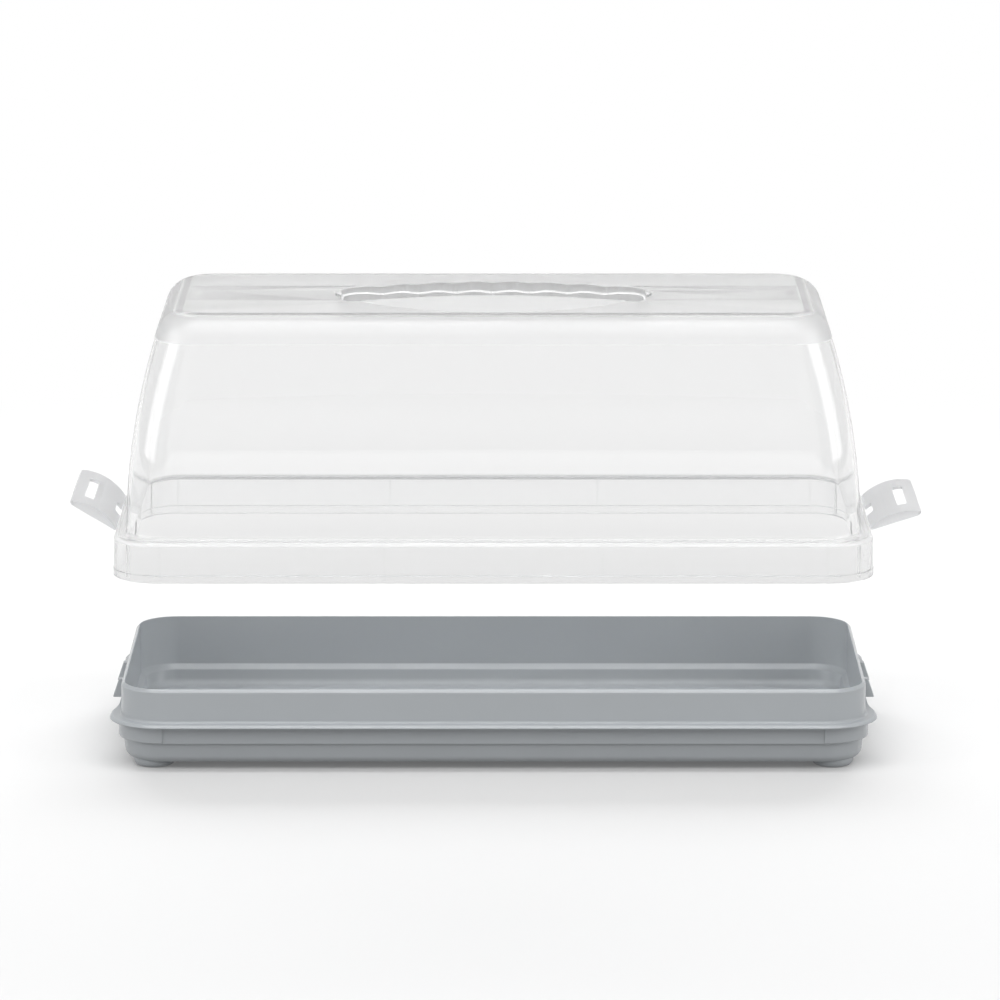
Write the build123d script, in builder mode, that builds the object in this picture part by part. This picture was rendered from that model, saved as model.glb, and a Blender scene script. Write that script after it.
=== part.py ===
"""Rectangular cake carrier: a moulded tray, a domed lid with a finger slot, and a latch flap at each end.

Millimetres, +Z up, +X along the length. The origin is on the table under the middle of the tray.
The lid is held above the tray and both latch flaps are swung open.
"""
import os
from math import cos, radians, sin

from build123d import *

os.makedirs("parts", exist_ok=True)

# Tray: the outside of its upright rim is the size that everything else is built round
rim_length = 387.6
rim_width = 175.5
rim_corner = 22.0
rim_height = 17.6
rim_bevel = 0.6
tray_wall = 2.0

# Tray: flange that the lid stands on
flange_reach = 6.2
flange_thickness = 1.8
flange_bevel = 0.5

# Tray: stepped band under the flange, with a shallow panel let into each side
band_height = 9.0
band_reach = 1.6
panel_depth = 0.8
panel_end = 22.2
panel_sill = 1.2

# Tray: tapered bowl under the band
bowl_step = 2.4
bowl_depth = 11.2
bowl_draft_angle = 6.0
bowl_edge_round = 6.0
floor_round = 4.2
ledge_bevel = 0.8

# Tray: four round feet
foot_diameter = 22.0
foot_height = 3.8
foot_bevel = 1.8
foot_setback = 6.2

# Tray: the flange is set back at each end, with slanted shoulders
notch_length = 88.0
notch_slant = 12.0
notch_reach = 2.5

# Tray: two wedge lugs at each end
lug_width = 5.5
lug_height = 9.6
lug_reach_top = 4.2
lug_reach_bottom = 7.4

# Lid: skirt round the tray's rim
lid_wall = 1.6
skirt_clearance = 1.3
rim_clearance = 2.0
lip_height = 4.0
lip_reach = 0.4
shoulder_round = 1.6

# Lid: dome whose walls curve inwards, in short straight runs up to its rounded top edge
dome_setback = 6.4
dome_height = 115.2
dome_lean_x = 20.0
dome_lean_y = 13.0
dome_corner = 22.0
dome_edge_round = 10.0
dome_levels = 7
edge_steps = 3

# Lid: locating ribs inside the skirt
rib_width = 1.2
rib_clearance = 0.3
rib_spacing = 112.6
rib_foot = 1.5
rib_root = 0.6

# Lid: windows in the skirt that let the lugs through
window_margin = 3.0
window_headroom = 2.6
window_round = 3.0

# Lid: sunk channel along the top and the raised mound round the finger slot
channel_width = 38.0
channel_depth = 1.0
mound_length = 166.0
mound_width = 120.0
mound_slope_reach = 38.0
mound_rise = 2.0

# Lid: finger slot with a collar under its edge
slot_length = 159.5
slot_front = 17.0
slot_front_end = 24.0
slot_end_round = 13.0
collar_wall = 1.8
collar_depth = 5.4

# Lid: finger scallops along the back of the slot
scallop_count = 8
scallop_radius = 11.5
scallop_crest = 24.0
scallop_end_crest = 17.0
scallop_valley_round = 1.5

# Latch flaps
flap_width = 84.0
flap_length = 27.0
flap_wall = 1.6
flap_crown = 3.2
flap_tip_round = 4.0
flap_closed_lean = 2.0
hinge_clearance = 0.3
hinge_drop = 2.4
hinge_gap_length = 21.0
hinge_gap_reach = 3.2

# Catch slots in the flaps, which snap under the lugs
catch_slot_length = 47.0
catch_slot_height = 5.3
catch_slot_round = 1.2
catch_clearance = 0.65
lug_clearance = 1.6

# Pose shown: the lid is lifted and the flaps are swung up to these angles above level
lid_lift = 74.6
left_flap_angle = 31.0
right_flap_angle = 18.0

# Heights of the tray
floor_top = foot_height + tray_wall
band_bottom = foot_height + bowl_depth
ledge_top = band_bottom + tray_wall
flange_bottom = band_bottom + band_height
flange_top = flange_bottom + flange_thickness
rim_top = flange_top + rim_height

# Centres of the corner rounds, and of the feet
corner_x = rim_length / 2 - rim_corner
corner_y = rim_width / 2 - rim_corner
foot_x = rim_length / 2 - foot_setback - foot_diameter / 2
foot_y = rim_width / 2 - foot_setback - foot_diameter / 2

# Sizes and heights of the lid
skirt_inner_length = rim_length + 2 * skirt_clearance
skirt_inner_width = rim_width + 2 * skirt_clearance
skirt_inner_corner = rim_corner + skirt_clearance
skirt_length = skirt_inner_length + 2 * lid_wall
skirt_width = skirt_inner_width + 2 * lid_wall
skirt_height = rim_height + rim_clearance + lid_wall
lid_bottom = flange_top + lid_lift
shoulder_top = lid_bottom + skirt_height
dome_length = skirt_length - 2 * dome_setback
dome_width = skirt_width - 2 * dome_setback
dome_top = shoulder_top + dome_height
mound_radius = (mound_length**2 + mound_width**2) / (4 * mound_width)

# Lugs, and the hinges that the flaps swing on
lug_pitch = catch_slot_length - 2 * lug_clearance - lug_width
window_length = lug_pitch + lug_width + 2 * window_margin
window_height = lug_height - flange_thickness + window_headroom
barrel_radius = flap_wall / 2
hinge_x = skirt_length / 2 + hinge_clearance + barrel_radius
hinge_height = skirt_height - hinge_drop
catch_edge = (hinge_height + flange_thickness + catch_clearance) / cos(radians(flap_closed_lean))


def rim_face(height, grow=0.0):
    """The rim's outline at a height, grown or shrunk all round."""
    with BuildSketch(Plane.XY.offset(height)) as face:
        RectangleRounded(rim_length + 2 * grow, rim_width + 2 * grow, rim_corner + grow)
    return face.sketch


def bowl_form(height, grow, depth, edge_round):
    """A tapered bowl hanging from a height, rounded along its bottom edge."""
    with BuildPart() as form:
        add(rim_face(height, grow))
        extrude(amount=-depth, taper=bowl_draft_angle)
        fillet(form.edges().group_by(Axis.Z)[0], edge_round)
    return form.part


def dome_face(shrink, rise, inset):
    """The dome's outline at a share of its height, drawn in further where the top edge is rounded."""
    length = dome_length - 2 * (dome_lean_x * rise**2 + shrink + inset)
    width = dome_width - 2 * (dome_lean_y * rise**2 + shrink + inset)
    with BuildSketch(Plane.XY.offset(shoulder_top - shrink + dome_height * rise)) as face:
        RectangleRounded(length, width, dome_corner - shrink - inset)
    return face.sketch


def dome_form(shrink):
    """The dome with its channel and mound, shrunk by a wall when it is the hollow inside."""
    edge_round = dome_edge_round - shrink
    wall_share = 1 - edge_round / dome_height
    with BuildPart() as form:
        for level in range(dome_levels):
            add(dome_face(shrink, wall_share * level / (dome_levels - 1), 0))
        for step in range(1, edge_steps + 1):
            turn = radians(90 * step / edge_steps)
            rise = wall_share + edge_round / dome_height * sin(turn)
            add(dome_face(shrink, rise, edge_round * (1 - cos(turn))))
        loft(ruled=True)
        add(channel_form(dome_top - shrink), mode=Mode.SUBTRACT)
        add(mound_form(dome_top - shrink))
    return form.part


def channel_form(top):
    """The channel that is sunk along a flat top."""
    with BuildPart() as form:
        with BuildSketch(Plane.XY.offset(top)):
            Rectangle(dome_length - 2 * dome_lean_x - 2 * dome_edge_round, channel_width)
        extrude(amount=-channel_depth)
    return form.part


def mound_form(top):
    """The mound round the finger slot, where two flat cones cross, from the floor of the channel up."""
    foot = (Align.CENTER, Align.CENTER, Align.MIN)
    with BuildPart() as form:
        with Locations((0, mound_width / 2 - mound_radius, top - channel_depth)):
            Cylinder(mound_radius, channel_depth, align=foot)
        with Locations((0, mound_width / 2 - mound_radius, top)):
            Cone(mound_radius, mound_radius - mound_slope_reach, mound_rise, align=foot)
        add(mirror(form.part, about=Plane.XZ, mode=Mode.PRIVATE), mode=Mode.INTERSECT)
    return form.part


def flange_form():
    """The flange as a slab, set back with slanted shoulders in the middle of each end."""
    notch_x = rim_length / 2 + notch_reach
    edge_x = rim_length / 2 + flange_reach
    narrow = notch_length / 2
    wide = narrow + notch_slant
    with BuildPart() as form:
        with BuildSketch(Plane.XY.offset(flange_bottom)):
            add(rim_face(0, flange_reach))
            for side in (1, -1):
                with BuildLine():
                    Polyline(
                        (side * notch_x, -narrow),
                        (side * notch_x, narrow),
                        (side * edge_x, wide),
                        (side * edge_x, -wide),
                        close=True,
                    )
                make_face(mode=Mode.SUBTRACT)
        extrude(amount=flange_thickness)
        chamfer(form.edges().group_by(Axis.Z)[0] + form.edges().group_by(Axis.Z)[-1], flange_bevel)
    return form.part


def slot_face(height, grow=0.0):
    """The finger slot's outline: a bowed front edge, and finger scallops in an arched row at the back."""
    half = slot_length / 2
    last = half - scallop_radius
    pitch = 2 * last / (scallop_count - 1)
    middle_y = scallop_crest - scallop_radius
    end_y = scallop_end_crest - scallop_radius
    with BuildSketch(Plane.XY.offset(height)) as face:
        with BuildLine():
            ThreePointArc((-half, -slot_front_end), (0, -slot_front), (half, -slot_front_end))
            Line((half, -slot_front_end), (half, end_y))
            ThreePointArc((half, end_y), (0, middle_y), (-half, end_y))
            Line((-half, end_y), (-half, -slot_front_end))
        make_face()
        fillet(face.vertices().group_by(Axis.Y)[0], slot_end_round)
        for index in range(scallop_count):
            across = index * pitch - last
            with Locations((across, middle_y - (middle_y - end_y) * (across / last) ** 2)):
                Circle(scallop_radius)
        cusps = face.vertices().filter_by_position(Axis.Y, end_y, scallop_crest)
        fillet(cusps.filter_by_position(Axis.X, -last, last), scallop_valley_round)
        if grow:
            offset(amount=grow)
    return face.sketch


def latch_flap(side, swing_angle):
    """A crowned flap with side walls, hinged along one end of the lid and swung up to an angle."""
    angle = radians(swing_angle)
    hinge = (side * hinge_x, 0, lid_bottom + hinge_height)
    outward = (side * cos(angle), 0, sin(angle))
    upward = (-side * sin(angle), 0, cos(angle))
    profile_plane = Plane(origin=hinge, x_dir=outward, z_dir=(0, -side, 0))
    plan_plane = Plane(origin=hinge, x_dir=outward, z_dir=upward)
    crest = (flap_length / 2, barrel_radius + flap_crown)
    hollow_crest = (flap_length / 2, flap_crown - barrel_radius)
    with BuildPart() as flap:
        with BuildSketch(profile_plane):
            Circle(barrel_radius)
            with BuildLine():
                Line((0, -barrel_radius), (0, barrel_radius))
                ThreePointArc((0, barrel_radius), crest, (flap_length, barrel_radius))
                Line((flap_length, barrel_radius), (flap_length, -barrel_radius))
                Line((flap_length, -barrel_radius), (0, -barrel_radius))
            make_face()
        extrude(amount=flap_width / 2, both=True)
        fillet(flap.edges().filter_by(Axis(hinge, upward)), flap_tip_round)
        with BuildSketch(profile_plane):
            with BuildLine():
                ThreePointArc((0, -barrel_radius), hollow_crest, (flap_length, -barrel_radius))
                Line((flap_length, -barrel_radius), (0, -barrel_radius))
            make_face()
        extrude(amount=flap_width / 2 - flap_wall, both=True, mode=Mode.SUBTRACT)
        with BuildSketch(plan_plane):
            with Locations((catch_edge - catch_slot_height / 2, 0)):
                RectangleRounded(catch_slot_height, catch_slot_length, catch_slot_round)
            Rectangle(2 * hinge_gap_reach, hinge_gap_length)
        extrude(amount=flap_length, both=True, mode=Mode.SUBTRACT)
    return flap.part


def collar_form(dome):
    """A ring round the finger slot that hangs from the outer face of the dome."""
    with BuildPart() as form:
        add(slot_face(dome_top - collar_depth, collar_wall))
        extrude(amount=collar_depth + mound_rise)
        add(dome, mode=Mode.INTERSECT)
    return form.part


bowl_outside = bowl_form(band_bottom, -bowl_step, bowl_depth, bowl_edge_round)
bowl_inside = bowl_form(ledge_top, -bowl_step - tray_wall, ledge_top - floor_top, floor_round)
flange = flange_form()
dome_outside = dome_form(0)
dome_inside = dome_form(lid_wall)
collar = collar_form(dome_outside)

# The feet, the tapered bowl, the band and the rim make the outside of the tray
with BuildPart() as tray:
    with BuildSketch():
        with GridLocations(2 * foot_x, 2 * foot_y, 2, 2):
            Circle(foot_diameter / 2)
    extrude(amount=foot_height + bowl_edge_round)
    chamfer(tray.edges().group_by(Axis.Z)[0], foot_bevel)
    add(bowl_outside)
    add(rim_face(band_bottom))
    extrude(amount=rim_top - band_bottom)
    add(rim_face(band_bottom, band_reach))
    extrude(amount=band_height)

    # Shallow panels in the band leave its corners standing proud
    panel_height = band_height - panel_sill
    with BuildSketch(Plane.XY.offset(band_bottom + panel_sill)):
        with GridLocations(0, rim_width + 2 * band_reach, 1, 2):
            Rectangle(rim_length - 2 * panel_end, 2 * panel_depth)
        with GridLocations(rim_length + 2 * band_reach, 0, 2, 1):
            Rectangle(2 * panel_depth, rim_width - 2 * panel_end)
    extrude(amount=panel_height, mode=Mode.SUBTRACT)
    add(flange)

    # Wedge lugs on both ends, flush with the underside of the flange
    lug_top = flange_bottom + lug_height
    root_x = rim_length / 2 - tray_wall / 2
    top_x = rim_length / 2 + lug_reach_top
    tip_x = rim_length / 2 + lug_reach_bottom
    for lug_y in (-lug_pitch / 2, lug_pitch / 2):
        for side in (1, -1):
            with BuildSketch(Plane.XZ.offset(lug_y)):
                with BuildLine():
                    Polyline(
                        (side * root_x, flange_bottom),
                        (side * tip_x, flange_bottom),
                        (side * top_x, lug_top),
                        (side * root_x, lug_top),
                        close=True,
                    )
                make_face()
            extrude(amount=lug_width / 2, both=True)

    # The hollow: an upright part inside the rim, a ledge, and a tapered part down to the floor
    add(rim_face(ledge_top, -tray_wall))
    extrude(amount=rim_top - ledge_top, mode=Mode.SUBTRACT)
    add(bowl_inside, mode=Mode.SUBTRACT)
    chamfer(tray.edges().filter_by_position(Axis.Z, ledge_top, ledge_top), ledge_bevel)
    chamfer(tray.edges().group_by(Axis.Z)[-1], rim_bevel)

# The lid's skirt and dome, hollowed to an even wall, with a collar round the finger slot
with BuildPart() as lid:
    add(rim_face(lid_bottom, skirt_clearance + lid_wall))
    extrude(amount=skirt_height)
    fillet(lid.edges().group_by(Axis.Z)[-1], shoulder_round)
    add(rim_face(lid_bottom, skirt_clearance + lid_wall + lip_reach))
    extrude(amount=lip_height)
    add(dome_outside)
    add(rim_face(lid_bottom, skirt_clearance))
    extrude(amount=skirt_height - lid_wall, mode=Mode.SUBTRACT)
    add(dome_inside, mode=Mode.SUBTRACT)
    add(collar)
    add(slot_face(dome_top - collar_depth))
    extrude(amount=collar_depth + mound_rise, mode=Mode.SUBTRACT)

    # Ribs inside the skirt centre the lid on the rim: along the sides, and round each corner
    rib_reach = skirt_clearance - rib_clearance
    rib_inset = (rib_reach - rib_root) / 2
    rib_depth = rib_reach + rib_root
    with BuildSketch(Plane.XY.offset(lid_bottom + rib_foot)):
        for rib_x in (rib_spacing / 2, corner_x):
            with GridLocations(2 * rib_x, skirt_inner_width - 2 * rib_inset, 2, 2):
                Rectangle(rib_width, rib_depth)
        for side_x in (1, -1):
            for side_y in (1, -1):
                with Locations(Location((side_x * corner_x, side_y * corner_y), side_x * side_y * 45)):
                    with Locations((side_x * (skirt_inner_corner - rib_inset), 0)):
                        Rectangle(rib_depth, rib_width)
    extrude(amount=skirt_height - lid_wall - rib_foot)

    # A window in each end of the skirt lets the lugs through
    with BuildSketch(Plane.YZ) as window:
        with Locations((0, lid_bottom)):
            Rectangle(window_length, 2 * window_height)
        fillet(window.vertices().group_by(Axis.Y)[-1], window_round)
    extrude(amount=skirt_length, both=True, mode=Mode.SUBTRACT)

left_latch_flap = latch_flap(-1, left_flap_angle)
right_latch_flap = latch_flap(1, right_flap_angle)

tray.part.label = "tray"
lid.part.label = "lid"
left_latch_flap.label = "left_latch_flap"
right_latch_flap.label = "right_latch_flap"
export_step(tray.part, "parts/tray.step")
export_step(lid.part, "parts/lid.step")
export_step(left_latch_flap, "parts/left_latch_flap.step")
export_step(right_latch_flap, "parts/right_latch_flap.step")
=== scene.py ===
import bpy
import bmesh
from math import asin, cos, pi, radians, sin, tan
from mathutils import Matrix, Vector


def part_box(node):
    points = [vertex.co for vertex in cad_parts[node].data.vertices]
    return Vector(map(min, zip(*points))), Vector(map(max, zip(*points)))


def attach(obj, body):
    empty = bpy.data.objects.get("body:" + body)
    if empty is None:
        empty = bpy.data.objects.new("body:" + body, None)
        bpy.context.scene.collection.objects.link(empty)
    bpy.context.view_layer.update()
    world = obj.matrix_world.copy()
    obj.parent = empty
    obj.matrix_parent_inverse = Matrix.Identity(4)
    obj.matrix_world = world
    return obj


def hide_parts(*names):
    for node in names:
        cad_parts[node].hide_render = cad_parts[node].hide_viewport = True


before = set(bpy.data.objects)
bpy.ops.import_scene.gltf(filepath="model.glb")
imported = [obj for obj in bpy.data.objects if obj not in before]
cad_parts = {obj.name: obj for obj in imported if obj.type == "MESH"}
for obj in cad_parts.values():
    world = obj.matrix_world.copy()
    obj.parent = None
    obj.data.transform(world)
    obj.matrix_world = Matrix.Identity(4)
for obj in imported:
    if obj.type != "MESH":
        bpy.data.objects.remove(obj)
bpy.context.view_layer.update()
lidLow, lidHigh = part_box("lid")
scene = bpy.context.scene
metre = 1000.0      # the pieces are modelled in millimetres and scaled at the end
closeBy = 0.01      # edges are picked by their place to within this much
print("frame loaded:", sorted(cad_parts))


# small helpers for pieces

def newPiece(name, bm):
    bmesh.ops.recalc_face_normals(bm, faces=bm.faces[:])
    mesh = bpy.data.meshes.new(name)
    bm.to_mesh(mesh)
    bm.free()
    piece = bpy.data.objects.new(name, mesh)
    scene.collection.objects.link(piece)
    return piece


def bakeModifiers(piece):
    graph = bpy.context.evaluated_depsgraph_get()
    mesh = bpy.data.meshes.new_from_object(piece.evaluated_get(graph))
    piece.modifiers.clear()
    old = piece.data
    piece.data = mesh
    bpy.data.meshes.remove(old)


def combine(piece, tool, operation):      # DIFFERENCE, UNION or INTERSECT, and the tool is used up
    cutter = piece.modifiers.new("combine", "BOOLEAN")
    cutter.operation = operation
    cutter.solver = "EXACT"
    cutter.object = tool
    bakeModifiers(piece)
    bpy.data.objects.remove(tool)


# levels: radius, corner centre x, corner centre y, height
# one corner is spun, drawn out to the middle lines and mirrored
def cornerShell(bm, levels, steps):
    centreX = bm.verts.layers.float.new("centreX")
    centreY = bm.verts.layers.float.new("centreY")
    chain = []
    for radius, x, y, height in levels:
        vert = bm.verts.new((radius, 0, height))
        vert[centreX] = x
        vert[centreY] = y
        chain.append(vert)
    edges = [bm.edges.new(pair) for pair in zip(chain[:-1], chain[1:])]
    bmesh.ops.spin(bm, geom=chain + edges, cent=(0, 0, 0), axis=(0, 0, 1), angle=pi / 2, steps=steps)
    small = 1e-4
    endEdges = [e for e in bm.edges if all(v.co.y < small for v in e.verts)]
    sideEdges = [e for e in bm.edges if all(v.co.x < small for v in e.verts)]
    for vert in bm.verts:
        vert.co.x += vert[centreX]
        vert.co.y += vert[centreY]
    for edges, axis in ((endEdges, 1), (sideEdges, 0)):
        drawn = bmesh.ops.extrude_edge_only(bm, edges=edges)["geom"]
        for vert in newVerts(drawn):
            vert.co[axis] = 0
    for axis in ("X", "Y"):
        bmesh.ops.mirror(bm, geom=bm.verts[:] + bm.edges[:] + bm.faces[:], axis=axis, merge_dist=small)
    bmesh.ops.remove_doubles(bm, verts=bm.verts[:], dist=small)
    bmesh.ops.holes_fill(bm, edges=[e for e in bm.edges if e.is_boundary], sides=0)


def roundedProfile(corners, segments):      # corners: radius, height and how far the corner is rounded
    bm = bmesh.new()
    chain = [bm.verts.new((corner[0], 0, corner[1])) for corner in corners]
    for pair in zip(chain[:-1], chain[1:]):
        bm.edges.new(pair)
    for vert, corner in zip(chain, corners):
        rounding = corner[2]
        if rounding:
            bmesh.ops.bevel(bm, geom=[vert], affect="VERTICES", offset=rounding, segments=segments,
                            profile=0.5, material=-1)
    here = max((v for v in bm.verts if len(v.link_edges) == 1), key=lambda v: v.co.z)
    walked = []
    points = []
    while here:
        points.append((here.co.x, here.co.z))
        onward = [e for e in here.link_edges if e not in walked]
        walked += onward
        here = onward[0].other_vert(here) if onward else None
    bm.free()
    return points


def addBar(bm, low, high, place=Matrix()):
    size = [h - l for l, h in zip(low, high)]
    middle = [(h + l) / 2 for l, h in zip(low, high)]
    bar = place @ Matrix.Translation(middle) @ Matrix.Diagonal(size).to_4x4()
    return bmesh.ops.create_cube(bm, size=1, matrix=bar)["verts"]


def softenEdges(bm, edges, offset, segments):
    bmesh.ops.bevel(bm, geom=edges, affect="EDGES", offset=offset, segments=segments,
                    profile=0.5, material=-1)


def newVerts(geometry):      # the vertices in what an operator made
    return [v for v in geometry if isinstance(v, bmesh.types.BMVert)]


def finishPiece(piece, body, node, sharpAngle=32):
    piece.data.transform(Matrix.Scale(1 / metre, 4))
    for polygon in piece.data.polygons:
        polygon.use_smooth = True
    piece.data.set_sharp_from_angle(angle=radians(sharpAngle))
    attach(piece, body)
    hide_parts(node)


# tray: one rounded profile taken round the corners, with notches and panels cut and lugs and feet added

traySettings = {
    "length": 387.6,
    "width": 175.5,
    "corner": 22.0,
    "wall": 2.0,
    "rimHeight": 17.6,
    "rimSlope": (1.6, 1.6),      # depth and height of a sloped outer edge
    "rimRound": 0.35,
    "rimFootRound": 1.4,
    "flangeReach": 6.2,
    "flangeThickness": 1.8,
    "flangeSlope": (1.25, 1.25),
    "flangeRound": 0.25,
    "bandHeight": 9.0,
    "bandReach": 1.6,
    "bandRound": 0.7,
    "panelDepth": 0.8,
    "panelEnd": 22.2,
    "panelFoot": 0.3,      # how far a panel's cut runs on below the band
    "bowlStep": 1.0,
    "ledge": 2.8,
    "ledgeDrop": 2.6,
    "bowlDepth": 11.2,
    "bowlDraft": 6.0,
    "bowlRound": 4.2,
    "floorRound": 3.8,
    "floorMargin": 5.0,      # flat stretches next to the bowl's corners, before the middle is closed
    "undersideMargin": 7.0,
    "ledgeRound": 0.5,
    "footDiameter": 22.0,
    "footHeight": 3.8,
    "footRound": 3.2,
    "footSetback": 6.2,
    "notchLength": 98.0,
    "notchSlant": 14.0,
    "notchReach": 2.5,
    "notchRound": 7.0,
    "lugPitch": 38.3,
    "lugWidth": 5.5,
    "lugHeight": 9.6,
    "lugReachTop": 4.2,
    "lugReachBottom": 7.4,
    "lugRound": 0.5,
    "cornerSteps": 24,
    "profileSteps": 5,
}
trayHalfX = traySettings["length"] / 2
trayHalfY = traySettings["width"] / 2
bandBottom = traySettings["footHeight"] + traySettings["bowlDepth"]
flangeBottom = bandBottom + traySettings["bandHeight"]
flangeTop = flangeBottom + traySettings["flangeThickness"]


def trayLevels():
    s = traySettings
    corner = s["corner"]
    draft = s["bowlDepth"] * tan(radians(s["bowlDraft"]))
    bowl = corner - s["bowlStep"]
    hollow = corner - s["wall"] - s["ledge"]
    rimDepth, rimDrop = s["rimSlope"]
    flangeDepth, flangeDrop = s["flangeSlope"]
    flange = corner + s["flangeReach"]
    band = corner + s["bandReach"]
    rimTop = flangeTop + s["rimHeight"]
    floorTop = s["footHeight"] + s["wall"]
    ledgeTop = bandBottom + s["wall"]
    corners = [      # up the inside from the floor, over the rim and down the outside
        (hollow - draft - s["floorMargin"], floorTop, 0),
        (hollow - draft, floorTop, s["floorRound"]),
        (hollow, ledgeTop - s["ledgeDrop"], s["ledgeRound"]),
        (corner - s["wall"], ledgeTop, s["ledgeRound"]),
        (corner - s["wall"], rimTop, s["rimRound"]),
        (corner - rimDepth, rimTop, s["rimRound"]),
        (corner, rimTop - rimDrop, s["rimRound"]),
        (corner, flangeTop, s["rimFootRound"]),
        (flange - flangeDepth, flangeTop, s["flangeRound"] * 2),
        (flange, flangeTop - flangeDrop, s["flangeRound"]),
        (flange, flangeBottom, s["flangeRound"]),
        (band, flangeBottom, s["bandRound"]),
        (band, bandBottom, s["bandRound"]),
        (bowl, bandBottom, s["bandRound"]),
        (bowl - draft, s["footHeight"], s["bowlRound"]),
        (bowl - draft - s["undersideMargin"], s["footHeight"], 0),
    ]
    return [(radius, trayHalfX - corner, trayHalfY - corner, height)
            for radius, height in roundedProfile(corners, s["profileSteps"])]


def addNotches(bm):      # the flange is set back at both ends, with slanted shoulders
    s = traySettings
    near = trayHalfX + s["notchReach"]
    far = trayHalfX + s["flangeReach"] + 3      # well past the flange
    narrow = s["notchLength"] / 2
    wide = narrow + s["notchSlant"] * (far - near) / (s["flangeReach"] - s["notchReach"])
    for side in (1, -1):
        outline = [(near, -narrow), (near, narrow), (far, wide), (far, -wide)]
        verts = [bm.verts.new((side * x, y, flangeBottom - 0.05)) for x, y in outline]
        face = bm.faces.new(verts)
        raised = bmesh.ops.extrude_face_region(bm, geom=[face])["geom"]
        bmesh.ops.translate(bm, vec=(0, 0, s["flangeThickness"] + 0.1), verts=newVerts(raised))
        inner = [e for e in bm.edges if all(abs(abs(v.co.x) - near) < closeBy for v in e.verts)
                 and abs(e.verts[0].co.y - e.verts[1].co.y) < closeBy and e.verts[0].co.x * side > 0]
        softenEdges(bm, inner, s["notchRound"], 8)


def addPanels(bm):      # cut from just below the band to just under the flange
    s = traySettings
    low = bandBottom - s["panelFoot"]
    high = flangeBottom - 0.02
    reachX = trayHalfX - s["panelEnd"]
    reachY = trayHalfY - s["panelEnd"]
    faceX = trayHalfX + s["bandReach"]
    faceY = trayHalfY + s["bandReach"]
    for side in (1, -1):
        near, far = sorted((side * (faceY - s["panelDepth"]), side * (faceY + 1)))
        addBar(bm, (-reachX, near, low), (reachX, far, high))
        near, far = sorted((side * (faceX - s["panelDepth"]), side * (faceX + 1)))
        addBar(bm, (near, -reachY, low), (far, reachY, high))


def lugSolids():
    s = traySettings
    bm = bmesh.new()
    root = trayHalfX - s["wall"] / 2
    top = trayHalfX + s["lugReachTop"]
    tip = trayHalfX + s["lugReachBottom"]
    height = flangeBottom + s["lugHeight"]
    for side in (1, -1):
        for y in (-s["lugPitch"] / 2, s["lugPitch"] / 2):
            outline = [(root, flangeBottom), (tip, flangeBottom), (top, height), (root, height)]
            verts = [bm.verts.new((side * x, y - s["lugWidth"] / 2, z)) for x, z in outline]
            face = bm.faces.new(verts)
            drawn = bmesh.ops.extrude_face_region(bm, geom=[face])["geom"]
            bmesh.ops.translate(bm, vec=(0, s["lugWidth"], 0), verts=newVerts(drawn))
    outer = [e for e in bm.edges if all(abs(v.co.x) > top - closeBy for v in e.verts)]
    softenEdges(bm, outer, s["lugRound"], 3)
    return newPiece("lugs", bm)


def footSolids():
    s = traySettings
    radius = s["footDiameter"] / 2
    root = s["wall"] / 2      # a foot runs up to halfway through the bowl's bottom
    bm = bmesh.new()
    for side in (1, -1):
        for end in (1, -1):
            x = end * (trayHalfX - s["footSetback"] - radius)
            y = side * (trayHalfY - s["footSetback"] - radius)
            height = s["footHeight"] + root
            place = Matrix.Translation((x, y, height / 2))
            made = bmesh.ops.create_cone(bm, cap_ends=True, segments=64, radius1=radius, radius2=radius,
                                         depth=height, matrix=place)["verts"]
            lowest = [v for v in made if v.co.z < 0.1]
            rim = [e for e in bm.edges if all(v in lowest for v in e.verts)]
            softenEdges(bm, rim, s["footRound"], 6)
    return newPiece("feet", bm)


def makeTray():
    bm = bmesh.new()
    cornerShell(bm, trayLevels(), traySettings["cornerSteps"])
    tray = newPiece("trayShell", bm)
    bm = bmesh.new()
    addNotches(bm)
    addPanels(bm)
    combine(tray, newPiece("cuts", bm), "DIFFERENCE")
    combine(tray, lugSolids(), "UNION")
    combine(tray, footSolids(), "UNION")
    finishPiece(tray, "tray", "tray")
    print("tray:", len(tray.data.polygons), "faces")
    return tray


# lid: an outer body less a hollow made the same way, with a channel, a mound and a finger slot

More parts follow.
